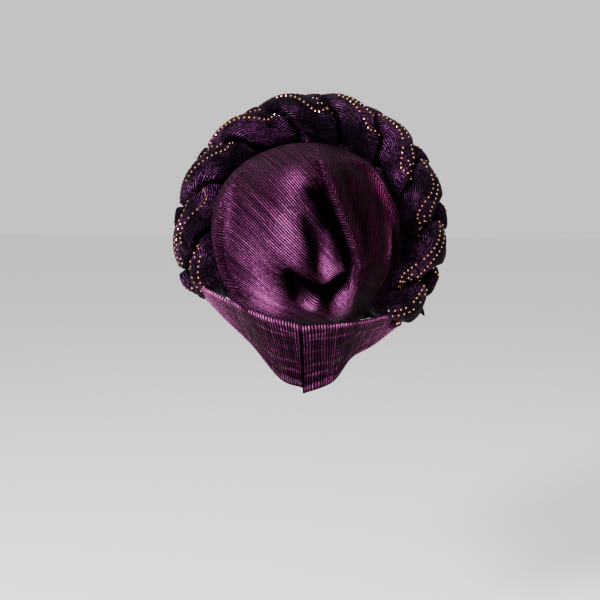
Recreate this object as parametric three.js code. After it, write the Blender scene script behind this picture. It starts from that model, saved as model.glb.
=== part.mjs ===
// A ready-tied gele head tie: a gathered crown of pleated foil cloth, a nape band sewn from two panels, and a padded
// three-strand plait that stands round the crown from the nape, over the top of the head and back to the nape.
// Millimetres, +Z up, and the wearer faces -Y. The origin is where the top of the wearer's head bears in the crown.
import * as THREE from "three";
import { mergeVertices } from "three/addons/utils/BufferGeometryUtils.js";

const { degToRad, lerp, smoothstep, clamp } = THREE.MathUtils;

// The thickness of the cloth: the crown has one lined layer, and the nape band is folded double.
const CROWN_CLOTH = 2.4;
const BAND_CLOTH = 3;

// The hoop is the oval that the plait's middle line follows. It leans forward at the top.
const HOOP = { y: -8, z: -78, lean: degToRad(20), halfWidth: 103, halfHeight: 109 };

// The plait's three strands swing from side to side and pass over and under each other, and are packed so tightly that
// together they fill an oval. Clock angles are measured round the hoop: 0 at the wearer's left, 90 degrees at the top
// and 180 at the right.
const PLAIT = {
  strands: 3,
  start: degToRad(-37),
  end: degToRad(226),
  firstLobe: degToRad(2),
  lobeSpacing: degToRad(28.3),
  halfWidth: 38,
  halfThickness: 24.9,
  swing: 20,
  weave: 11,
  overlap: 1.3,
  roundness: 2.8,
  clearance: 4.2,
  gatherAngle: degToRad(17),
  gatheredTo: 0.34,
  gatheredIn: 15,
};

// The crown is measured by rays from the middle of the hoop. A ray's rise is 0 in the hoop's plane, 90 degrees
// straight out at the back and negative in front. Each row gives the outer radius towards the top, the side, the low
// side at the ear, behind the ear and the nape.
const CROWN_PROFILE = [
  { rise: -64, top: 88, side: 88, low: 82, behind: 84, nape: 118 },
  { rise: -40, top: 80.5, side: 85, low: 82, behind: 84, nape: 118 },
  { rise: -20, top: 81, side: 80, low: 79, behind: 84, nape: 118 },
  { rise: 0, top: 83.5, side: 77.2, low: 77.5, behind: 83, nape: 118 },
  { rise: 12, top: 82.5, side: 79.5, low: 79.5, behind: 98, nape: 118 },
  { rise: 24, top: 81, side: 89, low: 94.5, behind: 110, nape: 118 },
  { rise: 36, top: 84, side: 101.5, low: 112, behind: 121, nape: 125 },
  { rise: 50, top: 93, side: 111, low: 122, behind: 129, nape: 133 },
  { rise: 70, top: 110.5, side: 122, low: 129, behind: 132.5, nape: 135 },
  { rise: 90, top: 126.5, side: 126.5, low: 126.5, behind: 126.5, nape: 126.5 },
];
const PROFILE_TURNS = { top: 0, side: 90, low: 124, behind: 146, nape: 180 };

// The crown's hem runs from the forehead, past the ears and in behind the nape band: the angle from the top of the
// hoop, and the rise there.
const CROWN_HEM = [
  { turn: 0, rise: -64 },
  { turn: 30, rise: -59 },
  { turn: 64, rise: -47 },
  { turn: 90, rise: -31 },
  { turn: 105, rise: -17 },
  { turn: 124, rise: -2 },
  { turn: 147, rise: 16 },
  { turn: 165, rise: 25 },
  { turn: 180, rise: 27 },
];

// The main folds of the crown, seen from behind: each is a bent line with its start, bend and end given as across and
// height, how far it stands out (or sinks in, if negative), and how wide its slopes are towards +X and -X.
const CROWN_FOLDS = [
  { name: "main_ridge", start: [-8, -11], bend: [-38, -40], end: [-44, -112], out: 9, plus: 6, minus: 22 },
  { name: "main_groove", start: [-21, -28], bend: [-34, -60], end: [-39, -109], out: -11, plus: 9, minus: 6 },
  { name: "wearers_right_rim", start: [-35, -4], bend: [-104, -46], end: [-68, -126], out: 6, plus: 12, minus: 9 },
  { name: "split_fold", start: [-84, -68], bend: [-72, -98], end: [-40, -148], out: 6, plus: 8, minus: 8 },
  { name: "low_tuck", start: [-88, -90], bend: [-82, -118], end: [-50, -144], out: 5, plus: 6, minus: 8 },
  { name: "valley", start: [-14, -66], bend: [-22, -94], end: [-25, -122], out: -7, plus: 9, minus: 7 },
  { name: "flap", start: [-26, -74], bend: [-33, -97], end: [-35, -122], out: 4, plus: 6, minus: 9 },
  { name: "hollow_beside_nub", start: [15, -116], bend: [9, -130], end: [2, -144], out: -10, plus: 11, minus: 8 },
  { name: "hollow_below_flap", start: [-18, -128], bend: [-28, -133], end: [-35, -144], out: -11, plus: 8, minus: 8 },
  { name: "wearers_left_valley", start: [47, -66], bend: [50, -98], end: [41, -132], out: -5, plus: 10, minus: 16 },
  { name: "wearers_left_rim", start: [56, -42], bend: [74, -92], end: [22, -149], out: 5, plus: 6, minus: 6 },
];

// The nape band's two panels. Each row is a section from the seam (share 0) to the tip (share 1), with the middle of
// the cloth at its top and bottom edges.
const LEFT_PANEL = [
  { share: 0, top: [0.3, 93, -155], bottom: [0.3, 66, -214] },
  { share: 0.25, top: [29, 91.5, -147.5], bottom: [19, 63, -207] },
  { share: 0.55, top: [60, 76, -137.5], bottom: [48, 49, -177] },
  { share: 0.8, top: [89, 56, -133], bottom: [74, 38.5, -159] },
  { share: 1, top: [107, 24, -134], bottom: [102, 17, -143] },
];
const RIGHT_PANEL = [
  { share: 0, top: [-0.3, 90.8, -156], bottom: [-0.3, 66, -219] },
  { share: 0.25, top: [-31, 84.7, -154], bottom: [-25, 58, -210] },
  { share: 0.55, top: [-57, 66, -154], bottom: [-42, 46, -189] },
  { share: 0.8, top: [-75, 44, -155.5], bottom: [-61, 32, -179.5] },
  { share: 1, top: [-89, 19, -157.5], bottom: [-86, 16, -166.5] },
];

const foil = new THREE.MeshStandardMaterial({ color: "#7a2f6c", roughness: 0.35, metalness: 0.6 });
const satin = new THREE.MeshStandardMaterial({ color: "#24101f", roughness: 0.45, metalness: 0.2 });

const headTie = new THREE.Group();
const hoop = new THREE.Group();
hoop.position.set(0, HOOP.y, HOOP.z);
hoop.rotation.x = HOOP.lean;
hoop.updateMatrixWorld();
headTie.add(hoop);

// A smooth curve through the named columns of a table's rows, whose key column goes up.
function smoothTable(rows, key, columns) {
  const values = rows.flatMap((row) => columns.flatMap((column) => row[column]));
  const size = values.length / rows.length;
  const curve = new THREE.CubicInterpolant(rows.map((row) => row[key]), values, size, new Float64Array(size));
  return (place) => Array.from(curve.evaluate(place));
}

const profileAt = smoothTable(CROWN_PROFILE, "rise", Object.keys(PROFILE_TURNS));
const hemAt = smoothTable(CROWN_HEM, "turn", ["rise"]);

// A closed body from an outer and an inner grid of points, with the same rows and columns. A ring's columns join up,
// and a grid that ends in a point has its last row in one place.
function bodyBetween(outer, inner, { ring = false, point = false } = {}) {
  const [rows, columns] = [outer.length, outer[0].length];
  const at = (side, row, column) => (side * rows + row) * columns + (column % columns);
  const faces = [];
  const quad = (a, b, c, d) => faces.push(a, b, c, a, c, d);
  const lastColumn = ring ? columns : columns - 1;
  for (let column = 0; column < lastColumn; column++) {
    for (let row = 0; row < rows - 1; row++) {
      quad(at(0, row, column), at(0, row, column + 1), at(0, row + 1, column + 1), at(0, row + 1, column));
      quad(at(1, row, column), at(1, row + 1, column), at(1, row + 1, column + 1), at(1, row, column + 1));
    }
    quad(at(0, 0, column), at(1, 0, column), at(1, 0, column + 1), at(0, 0, column + 1));
    if (!point) {
      const row = rows - 1;
      quad(at(0, row, column), at(0, row, column + 1), at(1, row, column + 1), at(1, row, column));
    }
  }
  if (!ring) {
    for (let row = 0; row < rows - 1; row++) {
      quad(at(0, row, 0), at(0, row + 1, 0), at(1, row + 1, 0), at(1, row, 0));
      quad(at(0, row, lastColumn), at(1, row, lastColumn), at(1, row + 1, lastColumn), at(0, row + 1, lastColumn));
    }
  }
  return closedGeometry([...outer.flat(), ...inner.flat()], faces);
}

// A closed body through a row of rings, with a flat face over each end.
function bodyThrough(rings) {
  const size = rings[0].length;
  const points = rings.flat();
  const faces = [];
  for (let row = 0; row < rings.length - 1; row++) {
    for (let i = 0; i < size; i++) {
      const [a, b] = [row * size + i, row * size + ((i + 1) % size)];
      faces.push(a, b, a + size, b, b + size, a + size);
    }
  }
  const last = (rings.length - 1) * size;
  for (let i = 1; i < size - 1; i++) {
    faces.push(0, i + 1, i, last, last + i, last + i + 1);
  }
  return closedGeometry(points, faces);
}

// Joins the points that lie in one place, and drops the faces that this closes up.
function closedGeometry(points, faces) {
  const loose = new THREE.BufferGeometry().setFromPoints(points);
  loose.setIndex(faces);
  const geometry = mergeVertices(loose, 1e-4);
  const corners = geometry.index.array;
  const kept = [];
  for (let i = 0; i < corners.length; i += 3) {
    const [a, b, c] = corners.slice(i, i + 3);
    if (a !== b && b !== c && c !== a) kept.push(a, b, c);
  }
  geometry.setIndex(kept);
  geometry.computeVertexNormals();
  return geometry;
}

// How far the folds lift the crown's cloth, at a place seen from behind.
function foldLift(across, height) {
  const steps = 14;
  let lift = 0;
  for (const fold of CROWN_FOLDS) {
    const line = new THREE.QuadraticBezierCurve(
      new THREE.Vector2(...fold.start),
      new THREE.Vector2(...fold.bend),
      new THREE.Vector2(...fold.end),
    );
    let nearest = Infinity;
    let share = 0;
    for (let i = 0; i <= steps; i++) {
      const spot = line.getPoint(i / steps);
      const width = across > spot.x ? fold.plus : fold.minus;
      const distance = Math.hypot(across - spot.x, height - spot.y) / width;
      if (distance < nearest) [nearest, share] = [distance, i / steps];
    }
    const fade = Math.sin(Math.PI * clamp(share, 0.15, 0.85));
    lift += fold.out * fade * Math.exp(-nearest * nearest);
  }
  return lift;
}

// The crown's outer face along a ray.
function crownRadius(clock, rise) {
  const fromTop = Math.abs(THREE.MathUtils.euclideanModulo(clock - Math.PI / 2 + Math.PI, 2 * Math.PI) - Math.PI);
  const turns = Object.values(PROFILE_TURNS);
  const around = new THREE.CubicInterpolant(turns, profileAt(rise / degToRad(1)), 1, new Float64Array(1));
  around.settings = { endingStart: THREE.ZeroSlopeEnding, endingEnd: THREE.ZeroSlopeEnding };
  return around.evaluate(fromTop / degToRad(1))[0];
}

function crownHem(clock) {
  const fromTop = Math.abs(THREE.MathUtils.euclideanModulo(clock - Math.PI / 2 + Math.PI, 2 * Math.PI) - Math.PI);
  return degToRad(hemAt(fromTop / degToRad(1))[0]);
}

// The crown: an open bag of cloth over the back of the head, folded and gathered into the nape band.
function crownGeometry() {
  const [rows, columns] = [26, 48];
  const outer = [];
  const inner = [];
  for (let row = 0; row <= rows; row++) {
    const outerRow = [];
    const innerRow = [];
    for (let column = 0; column < columns; column++) {
      const clock = (-2 * Math.PI * column) / columns;
      const hem = crownHem(clock);
      const rise = lerp(hem, Math.PI / 2, row / rows);
      const flat = Math.cos(rise);
      const ray = new THREE.Vector3(flat * Math.cos(clock), Math.sin(rise), flat * Math.sin(clock));
      const smooth = crownRadius(clock, rise);
      const place = hoop.localToWorld(ray.clone().multiplyScalar(smooth));
      const folded = smoothstep(rise, degToRad(24), degToRad(42)) * smoothstep(rise - hem, 0, degToRad(14));
      const radius = smooth + folded * foldLift(place.x, place.z);
      outerRow.push(ray.clone().multiplyScalar(radius));
      innerRow.push(ray.clone().multiplyScalar(radius - CROWN_CLOTH));
    }
    outer.push(outerRow);
    inner.push(innerRow);
  }
  return bodyBetween(outer, inner, { ring: true, point: true });
}

// How full the plait is at a clock angle: 1 along most of it, less where its ends are gathered.
function fullness(clock) {
  const fromEnd = Math.min(clock - PLAIT.start, PLAIT.end - clock);
  const share = clamp(fromEnd / PLAIT.gatherAngle, 0, 1);
  return lerp(PLAIT.gatheredTo, 1, Math.sqrt(1 - (1 - share) ** 2));
}

// Where a strand's middle is at a clock angle, from the plait's middle line: to the side, and out from the crown.
function strandMiddle(clock, strand) {
  const lobes = (clock - PLAIT.firstLobe) / PLAIT.lobeSpacing + strand;
  const phase = (2 * Math.PI * lobes) / PLAIT.strands + Math.PI / 2;
  return new THREE.Vector2(PLAIT.swing * Math.sin(phase), PLAIT.weave * Math.sin(2 * phase));
}

// How far a strand reaches from its middle at an angle of its section: to the plait's oval, or halfway to each
// neighbour. The shorter of these counts most, and they are blended into a round, padded shape.
function strandReach(clock, strand, angle) {
  const middle = strandMiddle(clock, strand);
  const way = new THREE.Vector2(Math.cos(angle), Math.sin(angle));
  const [a, b] = [PLAIT.halfWidth, PLAIT.halfThickness];
  const square = (way.x / a) ** 2 + (way.y / b) ** 2;
  const cross = (middle.x * way.x) / a ** 2 + (middle.y * way.y) / b ** 2;
  const rest = (middle.x / a) ** 2 + (middle.y / b) ** 2 - 1;
  const toOval = (-cross + Math.sqrt(cross ** 2 - square * rest)) / square;
  let closeness = toOval ** -PLAIT.roundness;
  for (let other = 1; other < PLAIT.strands; other++) {
    const apart = strandMiddle(clock, strand + other).sub(middle);
    const across = new THREE.Vector2(apart.x, apart.y * PLAIT.overlap ** 2);
    const half = apart.dot(across) / 2 - (PLAIT.clearance / 2) * across.length();
    const heading = way.dot(across);
    if (heading > 0) closeness += (half / heading) ** -PLAIT.roundness;
  }
  return closeness ** (-1 / PLAIT.roundness);
}

// One strand's section, in the plane through the hoop's axis.
function strandSection(clock, strand) {
  const corners = 12;
  const full = fullness(clock);
  const middle = strandMiddle(clock, strand);
  const pulledIn = ((1 - full) / (1 - PLAIT.gatheredTo)) * PLAIT.gatheredIn;
  const ring = [];
  for (let i = 0; i < corners; i++) {
    const angle = (-2 * Math.PI * i) / corners;
    const reach = strandReach(clock, strand, angle);
    const side = full * (middle.x + reach * Math.cos(angle));
    const out = full * (middle.y + reach * Math.sin(angle)) - pulledIn;
    ring.push(new THREE.Vector3(
      (HOOP.halfWidth + out) * Math.cos(clock),
      side,
      (HOOP.halfHeight + out) * Math.sin(clock),
    ));
  }
  return ring;
}

function strandGeometry(strand) {
  const steps = 82;
  const rings = [];
  for (let i = 0; i <= steps; i++) {
    rings.push(strandSection(lerp(PLAIT.start, PLAIT.end, i / steps), strand));
  }
  return bodyThrough(rings);
}

// One panel of the nape band: doubled cloth between its top and bottom edges, bowed out a little like the nape.
function panelGeometry(table, outwards) {
  const [rows, columns] = [12, 8];
  const bow = 3;
  const edgesAt = smoothTable(table, "share", ["top", "bottom"]);
  const middle = (share, down) => {
    const [x0, y0, z0, x1, y1, z1] = edgesAt(share);
    const bulge = bow * Math.sin(Math.PI * down) * (1 - share);
    return new THREE.Vector3(lerp(x0, x1, down), lerp(y0, y1, down) - bulge, lerp(z0, z1, down));
  };
  const normal = (share, down) => {
    const nudge = 0.02;
    const along = middle(Math.min(share + nudge, 1), down).sub(middle(Math.max(share - nudge, 0), down));
    const drop = middle(share, Math.min(down + nudge, 1)).sub(middle(share, Math.max(down - nudge, 0)));
    const out = drop.cross(along).normalize().multiplyScalar(outwards);
    return share === 0 ? out.setX(0).normalize() : out;
  };
  const face = (offset) => {
    const grid = [];
    for (let row = 0; row <= rows; row++) {
      const line = [];
      for (let column = 0; column <= columns; column++) {
        const [share, down] = [row / rows, column / columns];
        line.push(middle(share, down).addScaledVector(normal(share, down), offset));
      }
      grid.push(outwards > 0 ? line : line.reverse());
    }
    return grid;
  };
  return bodyBetween(face(BAND_CLOTH / 2), face(-BAND_CLOTH / 2));
}

function addPiece(parent, name, geometry, material) {
  const piece = new THREE.Mesh(geometry, material.clone());
  piece.name = name;
  parent.add(piece);
}

addPiece(hoop, "crown", crownGeometry(), foil);
for (let strand = 0; strand < PLAIT.strands; strand++) {
  addPiece(hoop, `plait_strand_${strand + 1}`, strandGeometry(strand), satin);
}
addPiece(headTie, "nape_band_left", panelGeometry(LEFT_PANEL, 1), foil);
addPiece(headTie, "nape_band_right", panelGeometry(RIGHT_PANEL, -1), foil);

export default headTie;
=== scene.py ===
"""A ready-tied gele head tie: a gathered crown of pleated foil cloth, a nape band sewn from two panels, and a
padded plait of three strands that stands round the crown and carries rows of small copper-gold studs."""

import math
import random
from functools import partial

import bmesh
import bpy
import numpy as np
from mathutils import Matrix, Vector, noise


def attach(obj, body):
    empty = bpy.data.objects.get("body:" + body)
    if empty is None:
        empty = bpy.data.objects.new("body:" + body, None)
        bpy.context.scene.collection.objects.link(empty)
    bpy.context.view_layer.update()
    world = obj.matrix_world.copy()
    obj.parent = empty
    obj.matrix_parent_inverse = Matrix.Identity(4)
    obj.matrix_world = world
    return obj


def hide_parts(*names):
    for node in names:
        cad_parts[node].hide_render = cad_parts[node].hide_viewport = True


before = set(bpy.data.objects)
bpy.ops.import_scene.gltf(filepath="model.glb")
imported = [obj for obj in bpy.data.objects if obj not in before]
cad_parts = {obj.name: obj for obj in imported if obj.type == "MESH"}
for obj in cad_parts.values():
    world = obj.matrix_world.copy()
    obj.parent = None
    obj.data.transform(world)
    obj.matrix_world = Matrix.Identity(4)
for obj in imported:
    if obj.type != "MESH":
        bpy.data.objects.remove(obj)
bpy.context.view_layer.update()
MM = 0.001


# The view: from behind and a little above, at about arm's length, as such pieces are shown for sale. The lens is
# long enough to keep the round of the plait true.
camera_at = {"azimuth": 185.0, "elevation": 5.0, "distance": 1.3}
look_at = Vector((0.0, 0.010, -0.107))
azimuth = math.radians(camera_at["azimuth"])
elevation = math.radians(camera_at["elevation"])
from_target = Vector(
    (
        math.sin(azimuth) * math.cos(elevation),
        -math.cos(azimuth) * math.cos(elevation),
        math.sin(elevation),
    )
)
camera_data = bpy.data.cameras.new("camera")
camera = bpy.data.objects.new("camera", camera_data)
bpy.context.scene.collection.objects.link(camera)
camera.location = look_at + from_target * camera_at["distance"]
camera.rotation_euler = (-from_target).to_track_quat("-Z", "Y").to_euler()
camera_data.sensor_width = 36.0
frame_width_mm = 554.0
camera_data.lens = camera_data.sensor_width * camera_at["distance"] / (frame_width_mm * MM)
camera_data.shift_x = -0.0135
camera_data.shift_y = -0.0625
bpy.context.scene.camera = camera


# The crown: a bag of polyester that is heat-pressed into fine knife pleats and printed with magenta foil. It is
# lined, gathered into the nape band behind, folded over itself on the back of the head, and drawn snug over the
# top of the head under the plait. One skin of cloth runs from the back, round the hem and up the inside.
hoop_y, hoop_z = -8.0, -78.0
hoop_lean = math.radians(20.0)
crown_cloth = 2.2
# The radii follow the part's source, with small changes. Some of them were rounded there from what a scratch script
# printed for two ovals, and the rest were changed by hand.
profile_turns = [0, 90, 124, 146, 180]
profile_rises = [-64, -40, -20, 0, 12, 24, 36, 50, 70, 90]
crown_profile = {
    "top": [88, 80.5, 81, 83.3, 82.3, 81, 84, 93, 110.5, 126.5],
    "side": [88, 85, 80, 77, 79, 89, 101.5, 111, 122, 126.5],
    "low": [82, 82, 79, 77.3, 79.3, 94.5, 112, 122, 129, 126.5],
    "behind": [84, 84, 84, 83, 98, 110, 121, 129, 132.5, 126.5],
    "nape": [118, 118, 118, 118, 118, 118, 125, 133, 135, 126.5],
}
hem_turns = [0, 30, 64, 90, 105, 124, 147, 165, 180]
hem_rises = [-64, -59, -47, -31, -18, -6, 10, 22, 26]


def smooth_through(places, values, at, level_ends=False):
    """A smooth curve through the values, which stand at the places. Values may have one row for each asking."""
    places = np.asarray(places, float)
    values = np.asarray(values, float)
    at = np.clip(at, places[0], places[-1])
    slopes = np.zeros_like(values)
    slopes[..., 1:-1] = (values[..., 2:] - values[..., :-2]) / (places[2:] - places[:-2])
    if not level_ends:
        slopes[..., 0] = (values[..., 1] - values[..., 0]) / (places[1] - places[0])
        slopes[..., -1] = (values[..., -1] - values[..., -2]) / (places[-1] - places[-2])
    left = np.clip(np.searchsorted(places, at, side="right") - 1, 0, len(places) - 2)
    width = places[left + 1] - places[left]
    share = (at - places[left]) / width

    def pick(table, i):
        if table.ndim == 1:
            return table[i]
        return np.take_along_axis(table, i[:, None], 1)[:, 0]

    low, high = pick(values, left), pick(values, left + 1)
    low_slope, high_slope = pick(slopes, left) * width, pick(slopes, left + 1) * width
    square, cube = share**2, share**3
    return (
        (2 * cube - 3 * square + 1) * low
        + (cube - 2 * square + share) * low_slope
        + (3 * square - 2 * cube) * high
        + (cube - square) * high_slope
    )


def smooth_step(value, start, end):
    share = np.clip((value - start) / (end - start), 0, 1)
    return share * share * (3 - 2 * share)


def turn_from_top(clock):
    """The angle from the top of the hoop, in degrees, of a clock angle in radians."""
    return np.degrees(np.abs((clock + np.pi / 2) % (2 * np.pi) - np.pi))


def crown_radius(clock, rise):
    degrees = np.degrees(rise)
    rows = np.stack([smooth_through(profile_rises, column, degrees) for column in crown_profile.values()], 1)
    return smooth_through(profile_turns, rows, turn_from_top(clock), level_ends=True)


def hem_rise(clock):
    return np.radians(smooth_through(hem_turns, hem_rises, turn_from_top(clock)))


def from_hoop(across, back, up):
    """A place in the hoop's own leaning axes, turned into the frame's."""
    lean_sin, lean_cos = math.sin(hoop_lean), math.cos(hoop_lean)
    leaned_back = hoop_y + back * lean_cos - up * lean_sin
    leaned_up = hoop_z + back * lean_sin + up * lean_cos
    return np.stack([across, leaned_back, leaned_up], 1)


def laid_flat(clock, rise):
    """The crown's skin laid out flat round the point that is furthest back, in about its true size."""
    out = (np.pi / 2 - rise) * 100
    return np.stack([out * np.cos(clock), out * np.sin(clock)], -1)


# Each fold is a line of places on the skin laid flat: across towards the wearer's left and up, in mm. Then come
# how far it stands out or sinks in, how wide its slope is towards the wearer's left and right, and how softly it
# rises: 1 is a sharp crease and 2 a round swell. The places aren't all chosen by hand: a scratch script turned
# pixels read off the photo by eye into places on this skin, and most of them were then moved by hand.
crown_folds = {
    "tuck_ridge": (
        [
            (-12, 34), (-18, 11), (-24, -7), (-30, -22), (-37, -38), (-43, -52),
            (-40, -62),
        ],
        11, 3, 13, 1.2,
    ),
    "tuck_groove": (
        [
            (-15, 15), (-20, -4), (-26, -20), (-33, -35), (-38, -49), (-37, -58),
        ],
        -19, 10, 4, 1.5,
    ),
    "ridge_beside_groove": (
        [
            (-10, 25), (-12, 6), (-16, -6), (-24, -24), (-31, -42), (-34, -54),
        ],
        4, 5, 4, 1.5,
    ),
    "upper_dimple": ([(-8, 4), (-11, -3), (-15, -9)], -6, 5, 3, 1.4),
    "valley": ([(-3, -16), (-8, -28), (-12, -39), (-13, -50), (-15, -62)], -10, 7, 3.5, 1.4),
    "flap": ([(-21, -26), (-21, -38), (-21, -50), (-22, -60)], 7, 4.5, 8, 1.5),
    "flap_inner_crease": ([(-25, -34), (-27, -46), (-28, -56)], -3, 2.5, 2.5, 1.4),
    "hollow_below_flap": ([(-17, -68), (-23, -69), (-30, -64), (-37, -59)], -18, 9, 4, 1.6),
    "hollow_low": ([(-25, -70), (-24, -78), (-24, -88)], -9, 5, 4, 1.5),
    "hollow_beside_nub": ([(9, -53), (5, -61), (3, -70), (3, -82)], -14, 7, 5, 1.5),
    "hollow_over_nub": ([(4, -58), (-5, -64), (-12, -70), (-19, -80)], -8, 5, 5, 1.5),
    "nub": ([(-4, -76), (-10, -79), (-16, -83)], 8, 5, 6, 1.6),
    "rib_stack": ([(-43, -60), (-35, -69), (-29, -82), (-27, -95)], 7, 5, 9, 1.5),
    "right_rim": (
        [
            (-38, 34), (-55, 33), (-63, 22), (-70, 8), (-79, -3), (-83, -12),
            (-76, -22),
        ],
        8, 4, 6, 1.2,
    ),
    "right_rim_low": (
        [
            (-83, -12), (-90, -26), (-88, -42), (-82, -58), (-75, -74), (-64, -92),
            (-54, -105), (-42, -113), (-28, -116),
        ],
        10, 5, 6, 1.2,
    ),
    "right_rim_groove": ([(-78, -20), (-81, -36), (-78, -54), (-72, -70), (-62, -86)], -7, 3.5, 3.5, 1.5),
    "split_fold": ([(-74, -20), (-73, -38), (-72, -54), (-68, -72), (-58, -90)], 5, 4, 4, 1.4),
    "right_panel_swell": (
        [
            (-35, 27), (-47, 5), (-57, -14), (-61, -36), (-55, -59), (-43, -84),
        ],
        4, 10, 12, 1.8,
    ),
    "right_panel_dip": ([(-30, 20), (-38, -2), (-48, -26), (-51, -50)], -3, 5, 7, 1.8),
    "left_rim": (
        [
            (40, 30), (52, 16), (62, 0), (66, -18), (66, -37), (63, -55),
            (57, -71), (50, -86), (41, -98), (28, -106),
        ],
        7, 3, 4, 1.3,
    ),
    "left_rim_groove": (
        [
            (50, 12), (58, -3), (61, -20), (61, -38), (58, -54), (52, -68),
            (42, -82),
        ],
        -7, 2.4, 2.4, 1.5,
    ),
    "left_rim_inner": (
        [
            (46, 12), (53, -5), (56, -22), (55, -42), (51, -58), (44, -71),
            (34, -82),
        ],
        4, 3, 3, 1.3,
    ),
    "left_third_fold": ([(49, -2), (50, -18), (49, -34)], 3, 2.4, 2.4, 1.4),
    "left_valley": ([(27, -12), (31, -32), (32, -52), (31, -70)], -4, 8, 11, 1.8),
    "left_swell": ([(14, -26), (17, -46), (18, -66)], 3, 9, 9, 1.9),
}

# The folds whose sharp edge shows the pleats end on, as a row of beads, and how far the beads reach from it.
beaded_folds = ["tuck_ridge", "right_rim", "right_rim_low", "left_rim", "left_rim_inner"]
beaded_half_width = 1.3


def folded(flat):
    """How far the folds lift the cloth at places of the skin laid flat, and, along the sharp folded edges that
    the pleats cross, how many millimetres along the edge a place is. Elsewhere that is not a number."""
    lift = np.zeros(len(flat))
    crossing = np.full(len(flat), np.nan)
    for name, (places, height, left_width, right_width, softness) in crown_folds.items():
        marks = np.array(places, float)
        steps = np.linspace(0, len(places) - 1, 6 * len(places))
        line = np.stack([smooth_through(range(len(places)), marks[:, i], steps) for i in (0, 1)], 1)
        nearest = np.full(len(flat), 1e9)
        share = np.zeros(len(flat))
        across = np.zeros(len(flat))
        for i in range(len(line) - 1):
            start, along = line[i], line[i + 1] - line[i]
            part = np.clip(((flat - start) @ along) / (along @ along), 0, 1)
            apart = flat - (start + part[:, None] * along)
            side = along[0] * apart[:, 1] - along[1] * apart[:, 0]
            away = np.hypot(apart[:, 0], apart[:, 1])
            distance = away / np.where(side > 0, left_width, right_width)
            closer = distance < nearest
            nearest = np.where(closer, distance, nearest)
            share = np.where(closer, (i + part) / (len(line) - 1), share)
            across = np.where(closer, away * np.sign(side), across)
        fade = np.sqrt(np.clip(np.sin(np.pi * np.clip(share, 0.03, 0.97)), 0, 1))
        lift += height * fade * np.exp(-(nearest**softness))
        if name in beaded_folds:
            length = np.hypot(*np.diff(line, axis=0).T).sum()
            on_edge = (np.abs(across) < beaded_half_width) & (share > 0.06) & (share < 0.94)
            crossing = np.where(on_edge, share * length * 1.1 + across * 0.7, crossing)
    return lift, crossing


# Painted highlights on the crown's foil: a place of the skin laid flat, how far the painted highlight reaches across
# and up, and how strong it is.
painted_highlight_places = {
    "beside_the_tuck": ((2, -30), 11, 21, 1.0),
    "over_the_nub": ((22, -78), 13, 13, 1.0),
    "left_swell": ((31, -42), 9, 22, 0.6),
    "above_the_dimple": ((2, 8), 7, 9, 0.7),
    "flap": ((-26, -55), 8, 15, 1.1),
    "nub": ((-11, -79), 6, 5, 1.0),
    "left_rim": ((57, -10), 6, 20, 0.6),
    "right_rim_top": ((-66, 16), 9, 11, 1.0),
    "right_rim": ((-72, -26), 6, 26, 0.8),
    "rib_stack": ((-34, -78), 6, 16, 0.8),
}
unhighlighted_share, most_highlight = 0.16, 1.3


def foil_left(flat):
    """How strongly the painted highlights brighten the foil at places of the skin laid flat."""
    left = np.full(len(flat), unhighlighted_share)
    for (across, up), reach_across, reach_up, strength in painted_highlight_places.values():
        away = ((flat[:, 0] - across) / reach_across) ** 2 + ((flat[:, 1] - up) / reach_up) ** 2
        left += strength * np.exp(-away / 1.3)
    return np.minimum(left, most_highlight)


crown_columns = 400
outside_rows = 184
inside_rows = 36


# The pleats left of the tuck fan out from one point, about the fan distance away. Those on its right bow between
# a point over the top and the gathers. All are on the skin laid flat, in mm.
fan_point, fan_distance = np.array([-170.0, -205.0]), 350
top_point, gather_point, bow_distance = np.array([-14.0, 150.0]), np.array([-26.0, -112.0]), 88


def crown_rib_place(flat):
    """How many millimetres across the pleats a place of the flat skin is, and how much painted shade it gets: 1 on
    the wearer's right of the tuck, down to 0.4 near the top, and none on its left. On its left the pleats run down
    to the right and draw together, and on its right they bow from the top to the gathers."""
    fan = np.arctan2(flat[:, 1] - fan_point[1], flat[:, 0] - fan_point[0]) * fan_distance
    to_top, to_gather = top_point - flat, gather_point - flat
    turn = np.arctan2(to_top[:, 1], to_top[:, 0]) - np.arctan2(to_gather[:, 1], to_gather[:, 0])
    bowed = (turn % (2 * np.pi)) * bow_distance
    tuck = np.array(crown_folds["tuck_groove"][0][::-1], float)
    edge = np.interp(flat[:, 1], tuck[:, 1], tuck[:, 0])
    right = flat[:, 0] < edge
    below_top = 0.4 + 0.6 * smooth_step(45 - flat[:, 1], 0, 30)
    return np.where(right, bowed, fan), smooth_step(edge - flat[:, 0], 4.0, 6.5) * below_top


def object_of(name, bm):
    mesh = bpy.data.meshes.new(name)
    bm.to_mesh(mesh)
    bm.free()
    mesh.polygons.foreach_set("use_smooth", [True] * len(mesh.polygons))
    piece = bpy.data.objects.new(name, mesh)
    bpy.context.scene.collection.objects.link(piece)
    return piece


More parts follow.
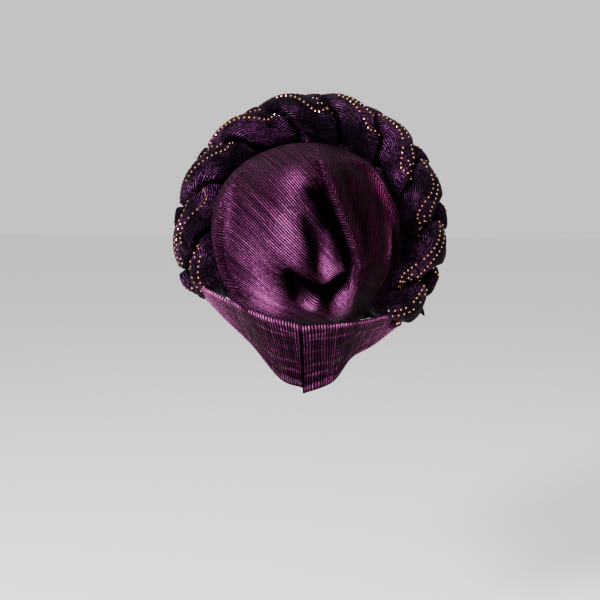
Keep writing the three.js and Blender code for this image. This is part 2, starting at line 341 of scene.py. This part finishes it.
def make_crown():
    rows = outside_rows + inside_rows
    bm = bmesh.new()
    bmesh.ops.create_grid(bm, x_segments=crown_columns, y_segments=rows, size=0.5)
    places = np.array([vert.co for vert in bm.verts])
    clock = (places[:, 0] + 0.5) * 2 * np.pi
    row = (places[:, 1] + 0.5) * rows
    outside = row <= outside_rows
    share = np.where(outside, row / outside_rows, (rows - row) / inside_rows)
    hem = hem_rise(clock)
    rise = np.pi / 2 + (hem - np.pi / 2) * share
    flat = laid_flat(clock, rise)
    smooth = crown_radius(clock, rise)
    behind_plait = smooth_step(np.degrees(rise), 14, 34)
    off_hem = smooth_step(np.degrees(rise - hem), 0, 5)
    lift, crossing = folded(flat)
    lift *= behind_plait * off_hem
    slow = np.array([noise.noise(Vector((x / 45, y / 45, 3.0))) for x, y in flat])
    lift += 1.6 * slow * behind_plait * off_hem
    hem_roll = 0.9 * np.exp(-((np.degrees(rise - hem) / 2.2) ** 2))
    radius = smooth + np.where(outside, lift + hem_roll, np.minimum(lift, 0) - crown_cloth)
    # The painted highlights, kept on the skin for the foil's colour, metal and roughness.
    highlight_level = foil_left(flat)
    ribs, right_side = crown_rib_place(flat)
    ribs = np.where(np.isnan(crossing), ribs, crossing)
    level = np.cos(rise)
    spots = from_hoop(
        radius * level * np.cos(clock),
        radius * np.sin(rise),
        radius * level * np.sin(clock),
    )
    for vert, spot in zip(bm.verts, spots):
        vert.co = spot * MM
    bm.verts.index_update()
    # Besides the pleats, the skin keeps the painted shade right of the tuck, the fold lift that paints shade in
    # hollows and highlight on ridges, and the painted highlights.
    layer = {name: bm.verts.layers.float.new(name) for name in ("ribs", "right_side", "depth", "foil_left")}
    for i, vert in enumerate(bm.verts):
        vert[layer["ribs"]] = ribs[i]
        vert[layer["right_side"]] = right_side[i]
        vert[layer["depth"]] = lift[i]
        vert[layer["foil_left"]] = highlight_level[i]
    bmesh.ops.remove_doubles(bm, verts=bm.verts, dist=0.00002)
    bmesh.ops.recalc_face_normals(bm, faces=bm.faces)
    return object_of("crown_cloth", bm)


crown = make_crown()


def srgb(code):
    """A colour written as a hex value, turned to the linear light that shaders work in."""
    parts = [int(code[i : i + 2], 16) / 255 for i in (1, 3, 5)]
    return [c / 12.92 if c <= 0.04045 else ((c + 0.055) / 1.055) ** 2.4 for c in parts] + [1.0]


def add_node(material, kind, settings=None, **links):
    """Adds a node. Settings are its properties, and links are its inputs: a value, or another node's output."""
    node = material.node_tree.nodes.new(kind)
    for name, value in (settings or {}).items():
        setattr(node, name, value)
    for name, value in links.items():
        key = int(name[1:]) if name[0] == "_" else name.replace("_", " ")
        if isinstance(value, bpy.types.NodeSocket):
            material.node_tree.links.new(value, node.inputs[key])
        else:
            node.inputs[key].default_value = value
    return node


def new_material(name):
    material = bpy.data.materials.new(name)
    material.use_nodes = True
    material.node_tree.nodes.clear()
    return material


def pleated_foil():
    """Heat-pleated polyester with a foil print. A painted magenta glint lies on the crests of the pleats, and their
    valleys are painted nearly black as shade."""
    pleat_mm = 2.1
    material = new_material("pleated_foil")
    add = partial(add_node, material)
    ribs = add("ShaderNodeAttribute", {"attribute_name": "ribs"}).outputs["Fac"]
    side = add("ShaderNodeAttribute", {"attribute_name": "right_side"}).outputs["Fac"]
    depth = add("ShaderNodeAttribute", {"attribute_name": "depth"}).outputs["Fac"]
    # The painted highlights, read from the skin.
    left = add("ShaderNodeAttribute", {"attribute_name": "foil_left"}).outputs["Fac"]
    place = add("ShaderNodeTexCoord").outputs["Object"]
    wander = add("ShaderNodeTexNoise", Vector=place, Scale=70.0, Detail=2.0).outputs["Fac"]
    shift = add("ShaderNodeMath", {"operation": "MULTIPLY_ADD"}, _0=wander, _1=1.0, _2=ribs).outputs[0]
    phase = add("ShaderNodeMath", {"operation": "MULTIPLY"}, _0=shift, _1=2 * math.pi / pleat_mm).outputs[0]
    wave = add("ShaderNodeMath", {"operation": "SINE"}, _0=phase).outputs[0]
    # Painted glint on the pleats' crests and painted shade in their valleys.
    crest = add("ShaderNodeMapRange", Value=wave, From_Min=-0.2, From_Max=0.9).outputs[0]
    worn = add("ShaderNodeTexNoise", Vector=place, Scale=520.0, Detail=3.0).outputs["Fac"]
    flecks = add("ShaderNodeMapRange", Value=worn, From_Min=0.35, From_Max=0.6, To_Min=0.25).outputs[0]
    spread = add("ShaderNodeVectorMath", {"operation": "SCALE"}, _0=place, Scale=9.0).outputs[0]
    apart = add("ShaderNodeMath", {"operation": "MULTIPLY"}, _0=ribs, _1=0.17).outputs[0]
    bundles = add("ShaderNodeCombineXYZ", X=apart, Y=side).outputs[0]
    drawn = add("ShaderNodeVectorMath", {"operation": "ADD"}, _0=spread, _1=bundles).outputs[0]
    clouds = add("ShaderNodeTexNoise", Vector=drawn, Scale=1.6, Detail=3.0, Roughness=0.65).outputs["Fac"]
    patches = add("ShaderNodeMapRange", Value=clouds, From_Min=0.38, From_Max=0.62, To_Min=0.1).outputs[0]
    foil_and_glint = add("ShaderNodeMath", {"operation": "MULTIPLY"}, _0=crest, _1=flecks).outputs[0]
    # Painted highlight: where it lies, the patches are lifted towards full strength and the foil is scaled up by it.
    highlight_share = add("ShaderNodeMapRange", Value=left, From_Max=1.3, To_Max=0.5).outputs[0]
    patches = add("ShaderNodeMix", {"data_type": "FLOAT"}, Factor=highlight_share, A=patches, B=1.0).outputs[0]
    foil_and_glint = add("ShaderNodeMath", {"operation": "MULTIPLY"}, _0=foil_and_glint, _1=patches).outputs[0]
    foil_and_glint = add("ShaderNodeMath", {"operation": "MULTIPLY"}, _0=foil_and_glint, _1=left).outputs[0]
    mix = partial(add, "ShaderNodeMix", {"data_type": "RGBA"})
    # Painted shade: on the wearer's right of the tuck the ground and the print turn darker.
    ground = mix(Factor=side, _6=srgb("#180412"), _7=srgb("#0c0206")).outputs[2]
    print_colour = mix(Factor=side, _6=srgb("#dc6cc0"), _7=srgb("#6a2450")).outputs[2]
    mixed = mix(Factor=foil_and_glint, _6=ground, _7=print_colour).outputs[2]
    # Painted shade and highlight: the colour is darkened in the hollows of the folds and brightened on their ridges.
    shade = add("ShaderNodeMapRange", Value=depth, From_Min=-7.0, From_Max=6.0, To_Min=0.05, To_Max=1.7).outputs[0]
    # Painted highlight: the colour is brightened again where the painted highlights lie, and dimmed elsewhere.
    lit = add("ShaderNodeMapRange", Value=left, From_Max=1.3, To_Min=0.65, To_Max=1.75).outputs[0]
    shade = add("ShaderNodeMath", {"operation": "MULTIPLY"}, _0=shade, _1=lit).outputs[0]
    darken = {"data_type": "RGBA", "blend_type": "MULTIPLY"}
    shaded = add("ShaderNodeMix", darken, Factor=1.0, _6=mixed, _7=shade).outputs[2]
    height = add("ShaderNodeMath", {"operation": "MULTIPLY_ADD"}, _0=worn, _1=0.25, _2=wave).outputs[0]
    bump = add("ShaderNodeBump", Height=height, Strength=1.0, Distance=0.0006).outputs[0]
    rough = add("ShaderNodeMapRange", Value=foil_and_glint, To_Min=0.5, To_Max=0.26).outputs[0]
    metal = add("ShaderNodeMapRange", Value=foil_and_glint, To_Min=0.15, To_Max=0.95).outputs[0]
    shader = add("ShaderNodeBsdfPrincipled", Base_Color=shaded, Roughness=rough, Metallic=metal, Normal=bump)
    shader.inputs["IOR"].default_value = 1.2
    shader.inputs["Specular IOR Level"].default_value = 0.12
    shader.inputs["Specular Tint"].default_value = srgb("#5a2048")
    add("ShaderNodeOutputMaterial", Surface=shader.outputs[0])
    return material


foil_material = pleated_foil()
crown.data.materials.append(foil_material)
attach(crown, "root")
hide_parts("crown")


# The plait: three long bags of crinkled violet-black satin, filled with soft wadding and plaited so tightly that
# each strand is pressed flat against its neighbours. The strands are gathered at both ends and sewn in behind the
# band.
hoop_half_width, hoop_half_height = 103.0, 109.0
hoop_mean = 106
plait_start, plait_end = math.radians(-53.0), math.radians(243.0)
left_tail, right_tail = math.radians(16.0), math.radians(10.0)
first_lobe, lobe_spacing = math.radians(2.0), math.radians(28.3)
plait_half_width, plait_half_thickness = 38.5, 26.0
strand_swing, strand_weave, strand_overlap = 20.0, 11.0, 1.3
strand_roundness, strand_gap = 2.7, -0.6
gather_angle, gathered_to, gathered_in = math.radians(16.0), 0.4, 15.0
# The lobes that face the wearer's front stand lower than those behind, and each lobe slopes down to its ends.
front_set_back, scallop = 6.0, 8.0
streak_reach = 16.0
strand_steps, strand_corners = 560, 84


def strand_phase(clock, strand):
    return 2 * np.pi * ((clock - first_lobe) / lobe_spacing + strand) / 3 + np.pi / 2


def strand_middle(clock, strand):
    phase = strand_phase(clock, strand)
    return strand_swing * np.sin(phase), strand_weave * np.sin(2 * phase)


def strand_reach(clock, strand, angle):
    """How far a strand reaches from its middle: to the plait's oval, or halfway to each neighbour, rounded off."""
    side, out = strand_middle(clock, strand)
    way_side, way_out = np.cos(angle), np.sin(angle)
    square = (way_side / plait_half_width) ** 2 + (way_out / plait_half_thickness) ** 2
    cross = side * way_side / plait_half_width**2 + out * way_out / plait_half_thickness**2
    rest = (side / plait_half_width) ** 2 + (out / plait_half_thickness) ** 2 - 1
    to_oval = (-cross + np.sqrt(cross**2 - square * rest)) / square
    closeness = to_oval**-strand_roundness
    for other in (1, 2):
        other_side, other_out = strand_middle(clock, strand + other)
        apart_side, apart_out = other_side - side, other_out - out
        across_side, across_out = apart_side, apart_out * strand_overlap**2
        length = np.hypot(across_side, across_out)
        half = (apart_side * across_side + apart_out * across_out) / 2 - strand_gap / 2 * length
        heading = np.maximum(way_side * across_side + way_out * across_out, 1e-6)
        closeness = closeness + (half / heading) ** -strand_roundness
    return closeness ** (-1 / strand_roundness)


def strand_place(clock, strand, angle, proud=0.0):
    """A place on a strand's skin, or a little proud of it."""
    on_left = clock < np.pi / 2
    from_end = np.where(on_left, clock - plait_start, plait_end - clock)
    tail_angle = np.where(on_left, left_tail, right_tail)
    share = np.clip((from_end - tail_angle) / gather_angle, 0, 1)
    full = gathered_to + (1 - gathered_to) * np.sqrt(1 - (1 - share) ** 2)
    tail = 1 - np.clip(from_end / tail_angle, 0, 1)
    pulled_in = (1 - full) / (1 - gathered_to) * gathered_in + 5 * tail
    side, out = strand_middle(clock, strand)
    reach = strand_reach(clock, strand, angle) + proud
    side = full * (side + reach * np.cos(angle))
    out = full * (out + reach * np.sin(angle))
    set_back = front_set_back * smooth_step(-side, -4, 12)
    set_back += scallop * np.sin(strand_phase(clock, strand) - np.pi / 4) ** 2
    out = out - set_back * np.clip(out / plait_half_thickness, 0, 1) - pulled_in
    across, up = (hoop_half_width + out) * np.cos(clock), (hoop_half_height + out) * np.sin(clock)
    return from_hoop(across, side, up)


def make_strand(strand):
    bm = bmesh.new()
    bmesh.ops.create_grid(bm, x_segments=strand_steps, y_segments=strand_corners, size=0.5)
    places = np.array([vert.co for vert in bm.verts])
    clock = plait_start + (places[:, 0] + 0.5) * (plait_end - plait_start)
    angle = (places[:, 1] + 0.5) * 2 * np.pi
    along = (clock - plait_start) * hoop_mean
    marks = [Vector((s / 30, math.cos(a) * 2.2 + strand * 7, math.sin(a) * 2.2)) for s, a in zip(along, angle)]
    wave = np.array([noise.noise(mark) for mark in marks])
    crease = np.sin(angle * 15 + 2 * wave) * 0.2 + np.sin(angle * 8 - 2 * wave + strand) * 0.3
    spots = strand_place(clock, strand, angle, crease - 0.5 + 0.8 * wave)
    layers = {name: bm.verts.layers.float.new(name) for name in ("along", "around")}
    for i, vert in enumerate(bm.verts):
        vert.co = spots[i] * MM
        vert[layers["along"]] = along[i]
        vert[layers["around"]] = angle[i] * streak_reach
    bmesh.ops.remove_doubles(bm, verts=bm.verts, dist=0.00002)
    open_edges = [edge for edge in bm.edges if edge.is_boundary]
    bmesh.ops.holes_fill(bm, edges=open_edges, sides=0)
    bmesh.ops.recalc_face_normals(bm, faces=bm.faces)
    return object_of(f"plait_strand_cloth_{strand + 1}", bm)


def crinkled_satin():
    """Crinkled satin with a faint foil wash: fine streaks run along each strand, and a painted violet glint sits on
    them.
    """
    streak_mm = 1.5
    material = new_material("crinkled_satin")
    add = partial(add_node, material)
    around = add("ShaderNodeAttribute", {"attribute_name": "around"}).outputs["Fac"]
    along = add("ShaderNodeAttribute", {"attribute_name": "along"}).outputs["Fac"]
    place = add("ShaderNodeTexCoord").outputs["Object"]
    stretched = add("ShaderNodeCombineXYZ", X=around, Y=along).outputs[0]
    drawn_out = (0.5, 0.03, 1.0)
    squeezed = add("ShaderNodeVectorMath", {"operation": "MULTIPLY"}, _0=stretched, _1=drawn_out).outputs[0]
    streaks = add("ShaderNodeTexNoise", Vector=squeezed, Scale=1.6, Detail=3.0).outputs["Fac"]
    shift = add("ShaderNodeMath", {"operation": "MULTIPLY_ADD"}, _0=streaks, _1=0.45, _2=around).outputs[0]
    phase = add("ShaderNodeMath", {"operation": "MULTIPLY"}, _0=shift, _1=2 * math.pi / streak_mm).outputs[0]
    wave = add("ShaderNodeMath", {"operation": "SINE"}, _0=phase).outputs[0]
    glint = add("ShaderNodeMapRange", Value=wave, From_Min=0.35, From_Max=1.0).outputs[0]
    clouds = add("ShaderNodeTexNoise", Vector=place, Scale=34.0, Detail=2.0).outputs["Fac"]
    patches = add("ShaderNodeMapRange", Value=clouds, From_Min=0.45, From_Max=0.7, To_Min=0.08).outputs[0]
    worn = add("ShaderNodeTexNoise", Vector=place, Scale=420.0, Detail=3.0).outputs["Fac"]
    flecks = add("ShaderNodeMapRange", Value=worn, From_Min=0.42, From_Max=0.62, To_Min=0.1).outputs[0]
    foil_and_glint = add("ShaderNodeMath", {"operation": "MULTIPLY"}, _0=glint, _1=patches).outputs[0]
    foil_and_glint = add("ShaderNodeMath", {"operation": "MULTIPLY"}, _0=foil_and_glint, _1=flecks).outputs[0]
    mix = {"data_type": "RGBA"}
    # The painted glint mixes the near-black satin towards violet.
    mixed = add("ShaderNodeMix", mix, Factor=foil_and_glint, _6=srgb("#08050a"), _7=srgb("#8a4484")).outputs[2]
    bump = add("ShaderNodeBump", Height=wave, Strength=0.8, Distance=0.0005).outputs[0]
    rough = add("ShaderNodeMapRange", Value=foil_and_glint, To_Min=0.55, To_Max=0.32).outputs[0]
    metal = add("ShaderNodeMapRange", Value=foil_and_glint, To_Min=0.1, To_Max=0.6).outputs[0]
    shader = add("ShaderNodeBsdfPrincipled", Base_Color=mixed, Roughness=rough, Metallic=metal, Normal=bump)
    shader.inputs["IOR"].default_value = 1.2
    shader.inputs["Specular IOR Level"].default_value = 0.12
    shader.inputs["Specular Tint"].default_value = srgb("#4a2a50")
    add("ShaderNodeOutputMaterial", Surface=shader.outputs[0])
    return material


satin_material = crinkled_satin()
for strand in range(3):
    piece = make_strand(strand)
    piece.data.materials.append(satin_material)
    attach(piece, "root")
    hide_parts(f"plait_strand_{strand + 1}")


# The studs: hot-fixed faceted copper-gold domes about two millimetres across, set in rows that loop along the
# outer edge of each bulge of every strand.
stud_radius, stud_step = 1.0, 4.3
lobe_reach = math.radians(30.0)
first_stud, last_stud = plait_start + 0.33, plait_end - 0.29
missing_share = 0.05
stud_row_radius = 122


def stud_places(strand):
    """Rows of studs on each bulge of a strand, as clock and section angles: one follows the bulge's outer edge,
    a second swings away from it and comes back, and short ones fill the space between them at one end."""
    dice = random.Random(20 + strand)
    period = 3 * lobe_spacing
    for face in (0, 1):
        bulge = first_lobe - strand * lobe_spacing + face * period / 2 - 2 * period
        while bulge < plait_end + period:
            bulge += period
            facing = math.pi * face
            swing = dice.uniform(0.5, 0.95)
            rows = [(1.0, 0.0, -1.0, 1.0), (1.0, -swing, -1.0, dice.choice((0.45, 1.0)))]
            rows += [(1.0, -swing * 0.5, start, start + 0.75) for start in (dice.choice((-0.95, 0.1)),)]
            if dice.random() < 0.5:
                rows += [(1.0, -swing * share, -0.9, -0.35) for share in (0.25, 0.75)]
            for edge, bow, start, end in rows:
                steps = max(int(lobe_reach * (end - start) * stud_row_radius / stud_step), 2)
                for step in range(steps):
                    share = start + (end - start) * (step + 0.5) / steps
                    turn = edge - 0.02 + bow * math.cos(share * math.pi / 2) ** 0.6
                    turn += 0.08 * math.sin(share * 9 + strand)
                    clock = bulge - share * lobe_reach
                    if first_stud < clock < last_stud and dice.random() > missing_share:
                        yield clock, facing + turn if face == 0 else facing - turn


def make_studs():
    dice = random.Random(7)
    bm = bmesh.new()
    flatten = Matrix.Diagonal((1.0, 1.0, 0.62, 1.0))
    for strand in range(3):
        for clock, angle in stud_places(strand):
            here = np.array([clock]), strand, np.array([angle])
            spot = strand_place(*here, 0.1)[0]
            facing = Vector(strand_place(*here, 2.1)[0] - spot).normalized()
            turn = facing.to_track_quat("Z", "Y").to_matrix().to_4x4()
            spin = Matrix.Rotation(dice.uniform(0, 1.0), 4, "Z")
            matrix = Matrix.Translation(Vector(spot) * MM) @ turn @ flatten @ spin
            bmesh.ops.create_icosphere(bm, subdivisions=1, radius=stud_radius * MM, matrix=matrix)
    return object_of("studs", bm)


def copper_gold():
    """Brass foil over glass, faceted by its mould: a warm copper-gold glint with dark sides."""
    material = new_material("copper_gold")
    add = partial(add_node, material)
    place = add("ShaderNodeTexCoord").outputs["Object"]
    tone = add("ShaderNodeTexNoise", Vector=place, Scale=160.0, Detail=1.0).outputs["Fac"]
    mix = {"data_type": "RGBA"}
    mixed = add("ShaderNodeMix", mix, Factor=tone, _6=srgb("#c9743f"), _7=srgb("#f3bf93")).outputs[2]
    shader = add("ShaderNodeBsdfPrincipled", Base_Color=mixed, Roughness=0.18, Metallic=1.0)
    add("ShaderNodeOutputMaterial", Surface=shader.outputs[0])
    return material


studs = make_studs()
studs.data.materials.append(copper_gold())
for polygon in studs.data.polygons:
    polygon.use_smooth = False
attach(studs, "root")


# The nape band: two panels of the crown's cloth, folded double and sewn to the crown's lower edge, with one seam
# down the middle of the back. The right panel was sewn a little lower, and ends in a small step at the seam.
band_cloth = 2.6
hem_fold, hem_groove = 0.93, 0.87
pleats_span = 100
# The rows follow the part's source. A scratch script turned pixels of the photo into their first places.
panel_rows = {
    "left": [
        (0.0, (-0.8, 92.2, -155), (-0.8, 65.2, -214)),
        (0.25, (29, 91.5, -147.5), (19, 63, -207)),
        (0.55, (60, 76, -137.5), (48, 49, -177)),
        (0.8, (86, 56, -128.8), (72, 38.5, -157)),
        (1.0, (99, 23, -129), (96, 17, -138)),
    ],
    "right": [
        (0.0, (-0.3, 90.8, -156), (-0.3, 66, -219)),
        (0.25, (-31, 84.7, -154), (-25, 58, -210)),
        (0.55, (-57, 66, -152.5), (-42, 46, -189)),
        (0.8, (-75, 42, -150.8), (-61, 31, -179.5)),
        (1.0, (-86, 8, -156.5), (-84, 7, -164)),
    ],
}


def panel_place(side, share, down):
    rows = panel_rows[side]
    shares = [row[0] for row in rows]
    top = np.stack([smooth_through(shares, [row[1][i] for row in rows], share) for i in range(3)], 1)
    bottom = np.stack([smooth_through(shares, [row[2][i] for row in rows], share) for i in range(3)], 1)
    place = top + (bottom - top) * down[:, None]
    place[:, 1] -= 3 * np.sin(np.pi * down) * (1 - share)
    return place


def make_panel(side):
    bm = bmesh.new()
    bmesh.ops.create_grid(bm, x_segments=180, y_segments=70, size=0.5)
    places = np.array([vert.co for vert in bm.verts])
    share, down = places[:, 0] + 0.5, places[:, 1] + 0.5
    spots = panel_place(side, share, down)
    own_noise = 1.0 if side == "left" else 5.0
    ripple = np.array([noise.noise(Vector((s * 9, d * 3, own_noise))) for s, d in zip(share, down)])
    crush = 0.9 * ripple
    roll = 1.2 * np.exp(-((down / 0.05) ** 2)) + 0.6 * np.exp(-(((down - hem_fold) / 0.03) ** 2))
    dent = -0.9 * np.exp(-(((down - hem_groove) / 0.02) ** 2))
    spots[:, 1] += (crush + roll + dent) * (1 - share * 0.6)
    # Painted light on the band: the top edge, the hem fold, the crush lines and the panels' outer ends are painted
    # brighter, the hem groove darker as painted shade, and the colour is darker along the seam. The left panel's end
    # gets the strongest painted highlight.
    crushed = np.array([noise.noise(Vector((s * 5, d * 22, 9.0))) for s, d in zip(share, down)])
    depth = 8 * np.exp(-((down / 0.06) ** 2)) + 5 * share**3 - 2.5 + 7 * np.clip(crushed, 0, 1)
    depth -= 8 * np.exp(-((share / 0.012) ** 2))
    depth += 3 * np.exp(-(((down - hem_fold) / 0.02) ** 2)) - 3 * np.exp(-(((down - hem_groove) / 0.015) ** 2))
    highlight_level = 0.3 + (0.8 if side == "left" else 0.35) * smooth_step(share, 0.4, 1.0)
    highlight_level = highlight_level + 0.5 * np.exp(-((down / 0.05) ** 2)) + 0.35 * np.exp(-(((down - 0.95) / 0.04) ** 2))
    highlight_level = highlight_level + 0.5 * np.clip(crushed, 0, 1)
    layers = {name: bm.verts.layers.float.new(name) for name in ("ribs", "right_side", "depth", "foil_left")}
    for i, vert in enumerate(bm.verts):
        vert.co = spots[i] * MM
        vert[layers["ribs"]] = share[i] * pleats_span + 1.0 * ripple[i]
        # The band takes a fixed share of the crown's painted shade.
        vert[layers["right_side"]] = 0.4
        vert[layers["depth"]] = depth[i]
        vert[layers["foil_left"]] = highlight_level[i]
    bmesh.ops.recalc_face_normals(bm, faces=bm.faces)
    outwards = sum((face.normal.y for face in bm.faces))
    if outwards < 0:
        bmesh.ops.reverse_faces(bm, faces=bm.faces)
    piece = object_of(f"nape_panel_{side}", bm)
    thickness = piece.modifiers.new("doubled cloth", "SOLIDIFY")
    thickness.thickness = band_cloth * MM
    thickness.offset = 0.0
    return piece


for side in ("left", "right"):
    panel = make_panel(side)
    panel.data.materials.append(foil_material)
    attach(panel, "root")
    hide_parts(f"nape_band_{side}")


# The cut corner: the raw end of one strand's cloth, which sticks out under the plait on the wearer's right.
corner_tip, corner_root, corner_drop = (-108.0, 8.0, -155.5), (-104.0, 9.0, -142.0), (-98.0, 8.0, -150.0)


def make_cut_corner():
    bm = bmesh.new()
    bmesh.ops.create_grid(bm, x_segments=8, y_segments=6, size=0.5)
    tip, root, drop = (np.array(place) for place in (corner_tip, corner_root, corner_drop))
    for vert in bm.verts:
        share, down = vert.co.x + 0.5, vert.co.y + 0.5
        side = root + (drop - root) * down
        place = side + (tip - side) * share * 0.97
        place[1] += 1.2 * math.sin(share * 5 + down * 3)
        vert.co = Vector(place) * MM
    bmesh.ops.recalc_face_normals(bm, faces=bm.faces)
    piece = object_of("cut_corner", bm)
    thickness = piece.modifiers.new("cloth", "SOLIDIFY")
    thickness.thickness = 0.8 * MM
    return piece


cut_corner = make_cut_corner()
cut_corner.data.materials.append(satin_material)
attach(cut_corner, "root")


# The floor and the light: a pale plain floor well below, a soft lamp over the camera's left shoulder, a weaker one
# on the right, and one above.
def make_floor():
    bm = bmesh.new()
    bmesh.ops.create_grid(bm, x_segments=1, y_segments=1, size=6.0)
    bmesh.ops.translate(bm, verts=bm.verts, vec=(0.0, 0.0, -0.5))
    floor = object_of("floor", bm)
    material = new_material("pale_floor")
    shader = add_node(material, "ShaderNodeBsdfPrincipled", Roughness=0.9)
    shader.inputs["Base Color"].default_value = srgb("#f4f2f0")
    add_node(material, "ShaderNodeOutputMaterial", Surface=shader.outputs[0])
    floor.data.materials.append(material)


make_floor()

lamps = {
    "key": ((0.75, 1.2, 0.7), 0.3, 66.0),
    "fill": ((-1.3, 0.7, 0.1), 0.8, 3.0),
    "top": ((0.0, -0.5, 1.3), 1.2, 14.0),
}
for name, (place, size, power) in lamps.items():
    data = bpy.data.lights.new(name, "AREA")
    data.size = size
    data.energy = power
    lamp = bpy.data.objects.new(name, data)
    lamp.location = place
    lamp.rotation_euler = (look_at - lamp.location).to_track_quat("-Z", "Y").to_euler()
    bpy.context.scene.collection.objects.link(lamp)

world = bpy.data.worlds.new("studio")
world.use_nodes = True
world.node_tree.nodes["Background"].inputs["Color"].default_value = (1.0, 1.0, 1.0, 1.0)
world.node_tree.nodes["Background"].inputs["Strength"].default_value = 0.95
bpy.context.scene.world = world
